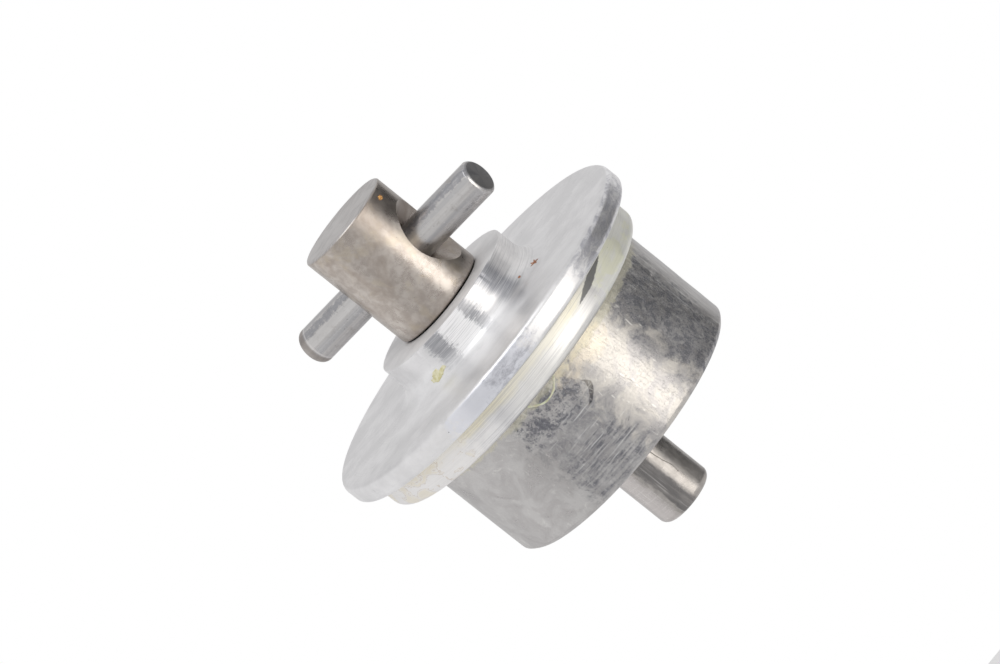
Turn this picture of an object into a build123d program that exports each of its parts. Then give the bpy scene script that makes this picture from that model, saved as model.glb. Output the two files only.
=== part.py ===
"""Bevel-gear differential unit: a turned aluminium flange and an eccentric drum hold two coaxial
steel shafts, each with a side gear, and a pair of pinions on a cross shaft between them.

Frame: +Z runs along the shafts towards the drive head, z = 0 is the underside of the flange rim
(its seat), and +X points the way the drum stands off the shafts' axis.  Millimetres and degrees.
"""
from build123d import *
from math import acos, atan, atan2, cos, degrees, hypot, pi, radians, sin, tan
import os

# ---- flange ----------------------------------------------------------------------------------
RIM_R, RIM_H = 30.0, 3.5
RIM_TOP_CHAMFER, RIM_LOW_CHAMFER = 0.6, 0.5
STEP_R, STEP_H, STEP_CHAMFER = 26.9, 5.0, 0.8
RELIEF_W, RELIEF_DEPTH = 1.2, 0.4   # the groove in the seat, around the step
HUB_R, HUB_TOP, HUB_FILLET, HUB_EDGE = 13.0, 9.3, 3.0, 0.2
COVER_POCKET_Z = 0.5

# ---- eccentric drum --------------------------------------------------------------------------
DRUM_R, DRUM_OFFSET = 22.5, 2.0
DRUM_TOP, DRUM_BOTTOM, DRUM_CHAMFER = -1.0, -23.8, 0.7
CAVITY_R, CAVITY_FLOOR = 16.0, -19.0
O_RING_SECTION, O_RING_Z = 1.2, -2.6
SEALANT_W, SEALANT_H = 0.55, 0.45

# ---- shafts ----------------------------------------------------------------------------------
SHAFT_R, JOURNAL_R, GEAR_SEAT_R = 5.0, 5.2, 4.0
JOURNAL_PROUD = 0.3               # how far the output journal stands out of the drum
HEAD_R, HEAD_BOTTOM, HEAD_TOP = 8.0, 9.6, 27.9
HEAD_TOP_CHAMFER, HEAD_LOW_CHAMFER = 0.25, 0.5
OUTPUT_END, OUTPUT_END_ROUND = -38.0, 1.2
PIN_R, PIN_LENGTH, PIN_Z, PIN_ANGLE = 3.0, 39.4, 17.9, -28.0
PIN_ROUND, PIN_CHAMFER = 1.2, 0.3
PIN_GRIP_R, PIN_GRIP_HALF = 3.2, 5.8    # the middle, which is pressed into the head
SINK_R = 6.0                      # the countersinks' radius at the head's surface, 90 degrees wide

# ---- gears -----------------------------------------------------------------------------------
MODULE, SIDE_TEETH, PINION_TEETH = 1.1, 18, 12
PRESSURE_ANGLE = radians(25)
ADDENDUM, DEDENDUM = 0.9 * MODULE, 1.1 * MODULE
FACE_WIDTH = 3.8
THINNING = 0.10                   # taken off each tooth's thickness, for backlash
SIDE_PITCH_R, PINION_PITCH_R = MODULE * SIDE_TEETH / 2, MODULE * PINION_TEETH / 2
CONE_DISTANCE = hypot(SIDE_PITCH_R, PINION_PITCH_R)
APEX_Z = (COVER_POCKET_Z + CAVITY_FLOOR) / 2
CAVITY_HALF = COVER_POCKET_Z - APEX_Z

# ---- small parts -----------------------------------------------------------------------------
RUNNING = 0.05                    # clearance of a turning part from its neighbour
WASHER_T = 0.7
GEAR_BACK = CAVITY_HALF - WASHER_T - RUNNING
BUSH_R, BUSH_LENGTH = 7.0, 6.0
OUTPUT_BUSH_LENGTH, SEAL_H = 3.1, 1.5
SEAL_R, INPUT_SEAL_H = 7.6, 2.8
CROSS_SHAFT_R, CROSS_SHAFT_HALF, SLOT_END = 2.5, 18.1, 18.2
PINION_BOSS_R, PINION_SEAT_X, PINION_SEAT_R = 4.6, 16.6, 5.7
PINION_WASHER_T = 0.8
CLIP_T, CLIP_R, CLIP_GROOVE_R, CLIP_Z = 0.8, 5.8, 3.6, 4.35
SHAFT_END_GAP = 3.2               # from the gears' apex to each shaft's inner end
KEY_W, KEY_LOW, KEY_HIGH, KEYWAY_R, KEY_LENGTH = 2.5, 2.8, 5.1, 5.2, 3.4


def tube(outer, inner, low, high):
    """A ring about +Z from z = low to z = high."""
    ring = Pos(0, 0, (low + high) / 2) * Cylinder(outer, high - low)
    return ring - Pos(0, 0, (low + high) / 2) * Cylinder(inner, high - low + 1)


def turned(*outline):
    """A solid of revolution about +Z from its (radius, z) outline."""
    face = Plane.XZ * make_face(Polyline(*outline, close=True))
    return revolve(face, Axis.Z)


def drum_place(z):
    return Pos(DRUM_OFFSET, 0, z)


# ---- bevel gears -----------------------------------------------------------------------------
def involute_angle(cone, base):
    """Azimuth of a spherical involute where it crosses a cone, from where it leaves the base cone."""
    arc = acos(min(1.0, cos(cone) / cos(base)))
    return arc / sin(base) - atan(tan(arc) / sin(base))


def gap_solid(teeth, pitch_cone, pitch_r):
    """The space between two teeth, centred on +X, tapering to the gears' common apex at the origin."""
    base = atan2(sin(pitch_cone) * cos(PRESSURE_ANGLE),
                 (1 - (sin(pitch_cone) * cos(PRESSURE_ANGLE)) ** 2) ** 0.5)
    root = pitch_cone - atan(DEDENDUM / CONE_DISTANCE)
    outside = pitch_cone + atan(1.5 * ADDENDUM / CONE_DISTANCE)
    half_tooth = pi / (2 * teeth) - THINNING / 2 / pitch_r
    at_base = pi / teeth - half_tooth - involute_angle(pitch_cone, base)
    start = max(root, base)
    steps = 6
    cones = [start + (outside - start) * i / steps for i in range(steps + 1)]

    def point(cone, side):
        turn = side * (at_base + involute_angle(cone, base))
        return (tan(cone) * cos(turn), tan(cone) * sin(turn))

    def outline(size):
        left, right = ([(x * size, y * size) for x, y in (point(c, side) for c in cones)]
                       for side in (1, -1))
        edges = Spline(*left) + Spline(*right) + Line(left[-1], right[-1])
        foot = [left[0], right[0]]
        if root < base:
            foot = [(size * tan(root) * cos(at_base), side * size * tan(root) * sin(at_base))
                    for side in (1, -1)]
            edges += [Line(foot[0], left[0]), Line(foot[1], right[0])]
        edges += ThreePointArc(foot[0], (size * tan(root), 0), foot[1])
        return Pos(0, 0, size) * make_face(edges)

    toe = (CONE_DISTANCE - FACE_WIDTH) * cos(outside) * 0.9
    heel = CONE_DISTANCE / cos(outside - pitch_cone) * cos(root) * 1.15
    return loft([outline(toe), outline(heel)], ruled=True)


def bevel_gear(teeth, pitch_r, mate_r, bore_r, back, boss=None, tooth_on_x=True):
    """A straight bevel gear about +Z, with its apex at the origin and its back face at z = back."""
    pitch_cone = atan2(pitch_r, mate_r)
    toe_share = 1 - FACE_WIDTH / CONE_DISTANCE

    def corner(share, height):
        r = share * (pitch_r + height * cos(pitch_cone))
        return (r, share * (mate_r - height * sin(pitch_cone)))

    heel_root, toe_root = corner(1, -DEDENDUM), corner(toe_share, -DEDENDUM)
    backing = min((back - heel_root[1]) / sin(pitch_cone), 2.0)
    back_corner = (heel_root[0] - backing * cos(pitch_cone), heel_root[1] + backing * sin(pitch_cone))
    outline = [(bore_r, toe_root[1]), toe_root, corner(toe_share, ADDENDUM), corner(1, ADDENDUM),
               heel_root, back_corner]
    if boss:
        outline += [(boss, back_corner[1]), (boss, back)]
    outline.append((bore_r, back))
    blank = turned(*outline)
    pitch = 360 / teeth
    first = pitch / 2 if tooth_on_x else 0
    gap = gap_solid(teeth, pitch_cone, pitch_r)
    return blank - [Rot(0, 0, first + i * pitch) * gap for i in range(teeth)]


def side_gear():
    gear = bevel_gear(SIDE_TEETH, SIDE_PITCH_R, PINION_PITCH_R, GEAR_SEAT_R, GEAR_BACK)
    keyway = Pos(0, KEYWAY_R / 2, GEAR_BACK / 2) * Box(KEY_W, KEYWAY_R, GEAR_BACK + 1)
    return gear - keyway


def pinion_gear():
    back = PINION_SEAT_X - PINION_WASHER_T - RUNNING
    return bevel_gear(PINION_TEETH, PINION_PITCH_R, SIDE_PITCH_R, CROSS_SHAFT_R + RUNNING, back,
                      boss=PINION_BOSS_R, tooth_on_x=False)


# ---- case ------------------------------------------------------------------------------------
def flange_cover():
    arc_mid = HUB_FILLET * (1 - cos(radians(45)))
    outline = Polyline((0, HUB_TOP), (HUB_R - HUB_EDGE, HUB_TOP), (HUB_R, HUB_TOP - HUB_EDGE),
                       (HUB_R, RIM_H + HUB_FILLET))
    outline += ThreePointArc((HUB_R, RIM_H + HUB_FILLET), (HUB_R + arc_mid, RIM_H + arc_mid),
                             (HUB_R + HUB_FILLET, RIM_H))
    outline += Polyline(
        (HUB_R + HUB_FILLET, RIM_H), (RIM_R - RIM_TOP_CHAMFER, RIM_H),
        (RIM_R, RIM_H - RIM_TOP_CHAMFER), (RIM_R, RIM_LOW_CHAMFER), (RIM_R - RIM_LOW_CHAMFER, 0),
        (STEP_R + RELIEF_W, 0), (STEP_R + RELIEF_W, RELIEF_DEPTH), (STEP_R, RELIEF_DEPTH),
        (STEP_R, STEP_CHAMFER - STEP_H), (STEP_R - STEP_CHAMFER, -STEP_H), (0, -STEP_H), (0, HUB_TOP))
    cover = revolve(Plane.XZ * make_face(outline), Axis.Z)
    recess_h = STEP_H + DRUM_TOP
    cover -= drum_place(-STEP_H + recess_h / 2 - 0.5) * Cylinder(DRUM_R, recess_h + 1)
    pocket_h = COVER_POCKET_Z - DRUM_TOP
    cover -= Pos(0, 0, COVER_POCKET_Z - pocket_h / 2 - 0.5) * Cylinder(CAVITY_R, pocket_h + 1)
    cover -= Cylinder(BUSH_R, 4 * HUB_TOP)
    seal_low = HUB_TOP - INPUT_SEAL_H
    return cover - Pos(0, 0, seal_low + HUB_TOP / 2) * Cylinder(SEAL_R, HUB_TOP)


def case_drum():
    drum = drum_place((DRUM_TOP + DRUM_BOTTOM) / 2) * Cylinder(DRUM_R, DRUM_TOP - DRUM_BOTTOM)
    drum = chamfer(drum.edges().group_by(Axis.Z)[0], DRUM_CHAMFER)
    cavity_h = DRUM_TOP - CAVITY_FLOOR
    drum -= Pos(0, 0, CAVITY_FLOOR + cavity_h / 2 + 0.5) * Cylinder(CAVITY_R, cavity_h + 1)
    drum -= Pos(0, 0, CAVITY_FLOOR) * Cylinder(BUSH_R, 20)
    drum -= Pos(0, 0, DRUM_BOTTOM) * Cylinder(SEAL_R, 2 * (SEAL_H + 0.2))
    groove = tube(DRUM_R + 1, DRUM_R - O_RING_SECTION, -O_RING_SECTION / 2, O_RING_SECTION / 2)
    drum -= drum_place(O_RING_Z) * groove
    for side in (1, -1):
        drum -= Pos(side * PINION_SEAT_X / 2, 0, APEX_Z) * Rot(0, 90, 0) * Cylinder(PINION_SEAT_R, PINION_SEAT_X)
        drum -= Pos(side * PINION_SEAT_X / 2, 0, (APEX_Z + DRUM_TOP + 1) / 2) * Box(
            PINION_SEAT_X, 2 * PINION_SEAT_R, DRUM_TOP + 1 - APEX_Z)
        drum -= Pos(side * SLOT_END / 2, 0, APEX_Z) * Rot(0, 90, 0) * Cylinder(CROSS_SHAFT_R, SLOT_END)
        drum -= Pos(side * SLOT_END / 2, 0, (APEX_Z + DRUM_TOP + 1) / 2) * Box(
            SLOT_END, 2 * CROSS_SHAFT_R, DRUM_TOP + 1 - APEX_Z)
    return drum


def case_o_ring():
    half = O_RING_SECTION / 2
    return drum_place(O_RING_Z) * tube(DRUM_R, DRUM_R - O_RING_SECTION, -half, half)


def seam_sealant():
    bead = turned((DRUM_R, 0), (DRUM_R + SEALANT_W, 0), (DRUM_R + SEALANT_W * 0.75, -SEALANT_H * 0.6),
                  (DRUM_R, -SEALANT_H))
    return drum_place(-STEP_H) * bead


def cross_shaft_keepers():
    """The two blocks that fill the drum's slots above the cross shaft, under the cover."""
    keepers = []
    for side in (1, -1):
        low, high = APEX_Z, DRUM_TOP
        width = SLOT_END - PINION_SEAT_X
        block = Pos(side * (PINION_SEAT_X + width / 2), 0, (low + high) / 2) * Box(
            width, 2 * CROSS_SHAFT_R, high - low)
        keepers.append(block - Pos(0, 0, APEX_Z) * Rot(0, 90, 0) * Cylinder(CROSS_SHAFT_R, 60))
    return keepers


def pinion_washer(side):
    ring = tube(PINION_SEAT_R - RUNNING, CROSS_SHAFT_R, PINION_SEAT_X - PINION_WASHER_T, PINION_SEAT_X)
    return Pos(0, 0, APEX_Z) * Rot(0, side * 90, 0) * ring


# ---- shafts ----------------------------------------------------------------------------------
def above_apex(part):
    return Pos(0, 0, APEX_Z) * part


def below_apex(part):
    return Pos(0, 0, APEX_Z) * Rot(180, 0, 0) * part


def gear_end(shaft_from):
    """A shaft's inner end, measured from the gears' apex: the gear's seat, its keyway and clip groove."""
    end = turned((0, SHAFT_END_GAP), (GEAR_SEAT_R, SHAFT_END_GAP), (GEAR_SEAT_R, GEAR_BACK),
                 (JOURNAL_R, GEAR_BACK), (JOURNAL_R, shaft_from), (0, shaft_from))
    end -= tube(CLIP_R, CLIP_GROOVE_R, CLIP_Z, CLIP_Z + CLIP_T)
    return end - key_block()


def key_block():
    low = GEAR_BACK - 0.2 - KEY_LENGTH
    return Pos(0, (KEY_LOW + KEY_HIGH) / 2, low + KEY_LENGTH / 2) * Box(
        KEY_W, KEY_HIGH - KEY_LOW, KEY_LENGTH)


def pin_place(part):
    """Carries a part made about +Z to the cross pin's axis, which +Z then points along."""
    return Pos(0, 0, PIN_Z) * Rot(0, 0, PIN_ANGLE) * Rot(0, 90, 0) * part


def input_shaft():
    head = turned((0, HEAD_BOTTOM), (HEAD_R - HEAD_LOW_CHAMFER, HEAD_BOTTOM),
                  (HEAD_R, HEAD_BOTTOM + HEAD_LOW_CHAMFER), (HEAD_R, HEAD_TOP - HEAD_TOP_CHAMFER),
                  (HEAD_R - HEAD_TOP_CHAMFER, HEAD_TOP), (0, HEAD_TOP))
    head -= pin_place(Cylinder(PIN_GRIP_R, 4 * HEAD_R))
    sink_floor = HEAD_R - (SINK_R - PIN_GRIP_R)
    reach = 2.0
    sink = turned((0, sink_floor), (PIN_GRIP_R, sink_floor), (SINK_R + reach, HEAD_R + reach),
                  (0, HEAD_R + reach))
    head -= pin_place(sink)
    head -= pin_place(Rot(180, 0, 0) * sink)
    return head + above_apex(gear_end(HEAD_BOTTOM - APEX_Z))


def cross_pin():
    half = PIN_LENGTH / 2
    pin = Cylinder(PIN_R, PIN_LENGTH)
    pin = fillet(pin.edges().group_by(Axis.Z)[0], PIN_ROUND)
    pin = chamfer(pin.edges().filter_by_position(Axis.Z, half - 0.01, half + 0.01), PIN_CHAMFER)
    pin += Cylinder(PIN_GRIP_R, 2 * PIN_GRIP_HALF)
    return pin_place(pin)


def output_shaft():
    shoulder = APEX_Z - DRUM_BOTTOM + JOURNAL_PROUD
    length = APEX_Z - OUTPUT_END - GEAR_BACK
    free_end = Pos(0, 0, GEAR_BACK + length / 2) * Cylinder(SHAFT_R, length)
    free_end = fillet(free_end.edges().group_by(Axis.Z)[-1], OUTPUT_END_ROUND)
    return below_apex(gear_end(shoulder) + free_end)


def circlip():
    """An open retaining ring with a pair of plier lugs, measured from the gears' apex."""
    ring = tube(CLIP_R - 0.4, CLIP_GROOVE_R, CLIP_Z, CLIP_Z + CLIP_T)
    middle = CLIP_Z + CLIP_T / 2
    lug_y = 1.6
    for side in (1, -1):
        ring += Pos(-CLIP_R + 0.7, side * lug_y, middle) * Cylinder(0.75, CLIP_T)
    ring -= Pos(-CLIP_R, 0, middle) * Box(6, 1.4, CLIP_T + 1)
    return ring - Pos(0, 0, middle) * Cylinder(CLIP_GROOVE_R, CLIP_T + 1)


PARTS = {
    "flange_cover": flange_cover(),
    "case_drum": case_drum(),
    "case_o_ring": case_o_ring(),
    "seam_sealant": seam_sealant(),
    "input_bush": tube(BUSH_R, JOURNAL_R + RUNNING / 2, COVER_POCKET_Z, COVER_POCKET_Z + BUSH_LENGTH),
    "output_bush": tube(BUSH_R, JOURNAL_R + RUNNING / 2, CAVITY_FLOOR - OUTPUT_BUSH_LENGTH, CAVITY_FLOOR),
    "input_seal": tube(SEAL_R, JOURNAL_R + RUNNING, HUB_TOP - INPUT_SEAL_H, HUB_TOP),
    "output_seal": tube(SEAL_R, JOURNAL_R + RUNNING, DRUM_BOTTOM + 0.2, DRUM_BOTTOM + 0.2 + SEAL_H),
    "input_thrust_washer": above_apex(tube(8.3, JOURNAL_R + 2 * RUNNING, CAVITY_HALF - WASHER_T, CAVITY_HALF)),
    "output_thrust_washer": below_apex(tube(8.3, JOURNAL_R + 2 * RUNNING, CAVITY_HALF - WASHER_T, CAVITY_HALF)),
    "pinion_cross_shaft": Pos(0, 0, APEX_Z) * Rot(0, 90, 0) * Cylinder(CROSS_SHAFT_R, 2 * CROSS_SHAFT_HALF),
    "cross_shaft_keepers": Compound(children=cross_shaft_keepers()),
    "pinion_washer_a": pinion_washer(1),
    "pinion_washer_b": pinion_washer(-1),
    "input_shaft": input_shaft(),
    "cross_pin": cross_pin(),
    "input_side_gear": above_apex(side_gear()),
    "input_key": above_apex(key_block()),
    "input_circlip": above_apex(circlip()),
    "output_shaft": output_shaft(),
    "output_side_gear": below_apex(side_gear()),
    "output_key": below_apex(key_block()),
    "output_circlip": below_apex(circlip()),
    "pinion_gear_a": Pos(0, 0, APEX_Z) * Rot(0, 90, 0) * pinion_gear(),
    "pinion_gear_b": Pos(0, 0, APEX_Z) * Rot(0, -90, 0) * pinion_gear(),
}

os.makedirs("parts", exist_ok=True)
for name, part in PARTS.items():
    export_step(part, f"parts/{name}.step")
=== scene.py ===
"""Looks for the differential gear assembly: turned aluminium flange, stained drum, aged steel shafts."""
import random
from math import cos, pi, radians, sin
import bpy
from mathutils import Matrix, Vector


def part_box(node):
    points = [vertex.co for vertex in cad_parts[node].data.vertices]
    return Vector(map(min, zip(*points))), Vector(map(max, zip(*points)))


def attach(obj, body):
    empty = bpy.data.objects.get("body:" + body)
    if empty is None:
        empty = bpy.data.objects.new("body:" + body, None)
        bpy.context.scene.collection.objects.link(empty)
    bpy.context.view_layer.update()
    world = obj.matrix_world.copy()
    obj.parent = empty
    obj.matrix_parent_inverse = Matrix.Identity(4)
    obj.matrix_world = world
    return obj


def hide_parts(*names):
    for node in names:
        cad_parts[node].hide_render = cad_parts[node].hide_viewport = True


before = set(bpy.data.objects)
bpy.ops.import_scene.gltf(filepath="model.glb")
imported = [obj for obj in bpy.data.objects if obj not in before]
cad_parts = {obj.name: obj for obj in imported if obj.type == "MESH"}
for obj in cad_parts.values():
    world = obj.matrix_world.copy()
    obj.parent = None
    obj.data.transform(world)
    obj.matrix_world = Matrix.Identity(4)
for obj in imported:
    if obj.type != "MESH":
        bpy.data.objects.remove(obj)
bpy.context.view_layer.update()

from types import SimpleNamespace
import bmesh
import bpy
from mathutils import Matrix, Quaternion, Vector, noise

MM = 0.001
ON_AXIS = 1e-6
scene = bpy.context.scene
random.seed(7)


# ---- sizes, millimetres, read from the frame where it has them -----------------------------------
def box_mm(node):
    low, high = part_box(node)
    return [v / MM for v in low], [v / MM for v in high]


COVER_LOW, COVER_HIGH = box_mm("flange_cover")
DRUM_LOW, DRUM_HIGH = box_mm("case_drum")
HEAD_HIGH = box_mm("input_shaft")[1]
RIM_R = COVER_HIGH[0]
HUB_TOP, STEP_LOW = COVER_HIGH[2], COVER_LOW[2]
DRUM_X = (DRUM_LOW[0] + DRUM_HIGH[0]) / 2
DRUM_R = (DRUM_HIGH[0] - DRUM_LOW[0]) / 2
DRUM_BOTTOM, DRUM_CHAMFER, DRUM_SEAL_DEPTH = DRUM_LOW[2], 0.7, 1.7
OUTPUT_END = box_mm("output_shaft")[0][2]
HEAD_R, HEAD_TOP, HEAD_BOTTOM = HEAD_HIGH[0], HEAD_HIGH[2], 9.46
RIM_H, STEP_R, HUB_R, HUB_FILLET = 3.5, 26.9, 13.0, 3.0
RIM_TOP_ROUND, RIM_LOW_ROUND, STEP_ROUND = 1.03, 0.86, 1.37
RELIEF_W, RELIEF_H = 1.2, 0.4
COVER_BORE, SEAL_POCKET, SEAL_DEPTH = 7.0, 7.6, 2.8
SPIGOT_R, SPIGOT_LOW, COVER_INSIDE, COVER_FLOOR = DRUM_R - 2.5, -1.2, 16.0, 0.5
PIN_R, PIN_HALF, PIN_Z, PIN_ANGLE = 3.0, 19.7, 17.9, radians(-28)
SINK_R, PIN_DOME, PIN_CHAMFER = 6.0, 1.2, 0.42
SHAFT_R, SHAFT_ROUND = 5.0, 1.2


# ---- node helpers --------------------------------------------------------------------------------
class Nodes:
    """Adds nodes to one tree; x, y and z are the parts of pos, the place that its patterns follow."""

    def __init__(self, tree, coordinate, scale=None):
        self.tree = tree
        self.pos = self.new("ShaderNodeTexCoord").outputs[coordinate]
        if scale is not None:
            scaled = self.new("ShaderNodeVectorMath", operation="SCALE")
            scaled.inputs["Scale"].default_value = scale
            self.link(self.pos, scaled.inputs[0])
            self.pos = scaled.outputs[0]
        split = self.new("ShaderNodeSeparateXYZ")
        self.link(self.pos, split.inputs[0])
        self.x, self.y, self.z = split.outputs

    def new(self, kind, **props):
        node = self.tree.nodes.new(kind)
        for key, value in props.items():
            setattr(node, key, value)
        return node

    def link(self, a, b):
        self.tree.links.new(a, b)

    def feed(self, socket, value):
        """Links a node's output to a socket, or sets the socket's own number or colour."""
        if isinstance(value, bpy.types.NodeSocket):
            self.link(value, socket)
        elif isinstance(value, tuple):
            socket.default_value = (*value, 1)
        else:
            socket.default_value = value

    def math(self, op, a, b=0.0, c=0.0):
        node = self.new("ShaderNodeMath", operation=op)
        for socket, value in zip(node.inputs, (a, b, c)):
            self.feed(socket, value)
        return node.outputs[0]

    def times(self, first, *others):
        for value in others:
            first = self.math("MULTIPLY", first, value)
        return first

    def highest(self, first, *others):
        for value in others:
            first = self.math("MAXIMUM", first, value)
        return first

    def total(self, *pairs):
        """The weighted sum of several (weight, value) pairs."""
        out = 0.0
        for weight, value in pairs:
            out = self.math("MULTIPLY_ADD", value, weight, out)
        return out

    def swing(self, pattern, reach=1.0):
        """The pattern moved to lie round zero, and made reach times as strong."""
        return self.times(self.math("SUBTRACT", pattern, 0.5), reach)

    def noise(self, size, detail=4.0, rough=0.55, stretch=(1, 1, 1), offset=(0, 0, 0), distort=0.0):
        """Noise whose features are about size millimetres across."""
        mapping = self.new("ShaderNodeMapping")
        self.link(self.pos, mapping.inputs[0])
        mapping.inputs["Scale"].default_value = stretch
        mapping.inputs["Location"].default_value = offset
        node = self.new("ShaderNodeTexNoise")
        node.inputs["Scale"].default_value = 1 / size
        node.inputs["Detail"].default_value = detail
        node.inputs["Roughness"].default_value = rough
        node.inputs["Distortion"].default_value = distort
        self.link(mapping.outputs[0], node.inputs["Vector"])
        return node.outputs["Fac"]

    def streaks(self, along, across, size, ratio, detail=4.0):
        """Noise drawn out along one coordinate, ratio times as long as it is wide."""
        combine = self.new("ShaderNodeCombineXYZ")
        self.link(self.times(along, 1 / ratio), combine.inputs[0])
        self.link(across, combine.inputs[1])
        node = self.new("ShaderNodeTexNoise")
        node.inputs["Scale"].default_value = 1 / size
        node.inputs["Detail"].default_value = detail
        self.link(combine.outputs[0], node.inputs["Vector"])
        return node.outputs["Fac"]

    def ramp(self, value, low, high, out_low=0.0, out_high=1.0):
        """A smooth step from out_low at low to out_high at high."""
        node = self.new("ShaderNodeMapRange", interpolation_type="SMOOTHSTEP")
        self.feed(node.inputs["Value"], value)
        for key, v in (("From Min", low), ("From Max", high), ("To Min", out_low), ("To Max", out_high)):
            node.inputs[key].default_value = v
        return node.outputs[0]

    def band(self, value, low, high, soft):
        """1 between low and high, fading to 0 over soft outside them."""
        return self.times(self.ramp(value, low - soft, low), self.ramp(value, high, high + soft, 1.0, 0.0))

    def mix(self, fac, a, b):
        node = self.new("ShaderNodeMix", data_type="RGBA")
        for key, value in (("Factor", fac), ("A", a), ("B", b)):
            self.feed(node.inputs[key], value)
        return node.outputs["Result"]

    def tint(self, color, towards, *amounts):
        """The colour moved towards another one, by the product of the amounts."""
        return self.mix(self.times(*amounts), color, towards)

    def around(self, centre_x=0.0):
        """Degrees round the +Z axis at centre_x, from the -Y side towards +X."""
        x = self.math("SUBTRACT", self.x, centre_x)
        angle = self.math("ARCTAN2", x, self.times(self.y, -1.0))
        return self.times(angle, 180 / pi)

    def girth(self, around, radius):
        """Millimetres round a surface of this radius, from the degrees round it."""
        return self.times(around, pi / 180 * radius)

    def radius(self):
        """Millimetres out from the Z axis."""
        return self.math("SQRT", self.math("ADD", self.times(self.x, self.x), self.times(self.y, self.y)))

    def rings(self, value, pitch):
        """Fine lathe marks along value, pitch millimetres apart."""
        wavering = self.math("ADD", value, self.times(self.noise(3.0, 2.0), 0.15))
        return self.math("SINE", self.times(wavering, 2 * pi / pitch))


class Material(Nodes):
    """One material's nodes; positions are millimetres in the row frame, and colours are linear RGB."""

    def __init__(self, name):
        self.mat = bpy.data.materials.new(name)
        self.mat.use_nodes = True
        self.bsdf = self.mat.node_tree.nodes["Principled BSDF"]
        super().__init__(self.mat.node_tree, "Object", 1 / MM)

    def finish(self, color, rough, height=None, depth=0.0, metallic=1.0):
        """Feeds the shader; a height of 1 stands depth millimetres proud."""
        for key, value in (("Base Color", color), ("Roughness", rough), ("Metallic", metallic)):
            self.feed(self.bsdf.inputs[key], value)
        if height is not None:
            bump = self.new("ShaderNodeBump")
            bump.inputs["Strength"].default_value = 1.0
            bump.inputs["Distance"].default_value = depth * MM
            self.link(height, bump.inputs["Height"])
            self.link(bump.outputs[0], self.bsdf.inputs["Normal"])
        return self.mat


# ---- the flange's aluminium ----------------------------------------------------------------------
def flange_patterns(n):
    """What the flange's surfaces share.

    wavy and torn are the degrees round the axis with ragged borders, turned and faced are tool marks, and
    side, on_rim, level, face, crown and below are 1 in one zone of the flange and 0 outside it.
    """
    p = SimpleNamespace(around=n.around(), radius=n.radius(), cloud=n.noise(5.0, 5.0, 0.6))
    p.smudge = n.noise(2.4, 5.0, 0.65, (1, 1, 2.5), (30, 0, 0), 0.8)
    ragged = n.swing(n.noise(1.1, 5.0, 0.7, (1, 1, 0.7)), 22)
    p.wavy = n.math("ADD", p.around, ragged)
    p.tear = n.swing(n.noise(1.0, 7.0, 0.72, (1, 1, 2.6), (8, 2, 5)))
    p.torn = n.total((17, p.tear), (0.35, ragged), (1, p.around))
    girth = n.girth(p.around, RIM_R)
    p.turned = n.streaks(girth, n.z, 0.15, 110, 3.0)
    p.faced = n.streaks(girth, p.radius, 0.22, 60, 3.0)
    p.side = n.times(n.band(n.z, 4.6, HUB_TOP, 1.4), n.ramp(p.radius, HUB_R + HUB_FILLET, HUB_R + 0.6),
                     n.ramp(p.radius, HUB_R - 0.25, HUB_R - 0.1))
    p.on_rim = n.times(n.band(n.z, 0.1, RIM_H - 0.1, 0.1), n.ramp(p.radius, RIM_R - 0.4, RIM_R - 0.2))
    p.level = n.ramp(n.z, RIM_H - 0.15, RIM_H + 0.1)
    p.face = n.times(p.level, n.ramp(p.radius, 14.5, 17.5))
    p.crown = n.ramp(n.z, HUB_TOP - 0.15, HUB_TOP - 0.05)
    p.below = n.ramp(n.z, 0.25, 0.0)
    return p


def hub_wear(n, p, color):
    """Painted dark reflections in torn patches on the hub's side, and a painted highlight of whitened, dulled
    metal between two of them.
    """
    # painted dark reflections: three torn dark bands on the hub's side
    left = n.times(n.band(p.torn, -27, -20, 6), 0.75)
    middle = n.times(n.band(p.torn, 5, 8, 5), n.ramp(n.z, 8.8, 6.0, 0.6, 1.0), 0.9)
    dark = n.highest(left, middle, n.band(p.around, 28, 37, 9))
    dark = n.times(dark, p.side, n.ramp(p.turned, 0.30, 0.62, 0.45, 1.0))
    color = n.tint(color, (0.23, 0.24, 0.275), dark, 0.94)
    # painted highlight: whiter, dull metal between the dark bands
    p.polished = n.times(n.band(p.torn, -15, 1, 4), p.side)
    return n.tint(color, (0.98, 0.98, 0.99), p.polished)


def rim_wear(n, p, color):
    """The rim's edge: a painted cool reflection in front, grime in two places (on the right also a painted
    dark reflection), pitted to the right and dull beyond.
    """
    # painted reflection: the rim's front tinted cool blue-grey
    color = n.tint(color, (0.76, 0.775, 0.835), p.on_rim, n.band(p.wavy, -23, 3, 5), 0.8)
    pores = n.ramp(n.noise(0.5, 5.0, 0.7, offset=(5, 5, 2)), 0.34, 0.60, 0.45, 1.0)
    # the right patch is grime and a painted dark reflection
    right = n.times(p.on_rim, n.band(p.wavy, 34, 74, 9), n.ramp(p.smudge, 0.34, 0.60))
    front = n.times(p.on_rim, n.band(p.wavy, -7, 7, 6), n.ramp(p.smudge, 0.36, 0.66), pores)
    p.grime = n.highest(right, front)
    color = n.tint(color, (0.38, 0.385, 0.425), p.grime, 0.8)
    pits = n.ramp(n.noise(0.4, 5.0, 0.72, (1, 1, 1.2), (4, 24, 8)), 0.50, 0.60)
    color = n.tint(color, (0.76, 0.77, 0.80), p.on_rim, n.band(p.wavy, 34, 66, 8), pits, 0.22)
    p.dull = n.times(p.on_rim, n.ramp(p.wavy, 62, 76), n.ramp(p.wavy, 128, 112))
    return n.tint(color, (0.88, 0.88, 0.90), p.dull, n.ramp(p.smudge, 0.36, 0.60, 0.75, 0.25))


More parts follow.
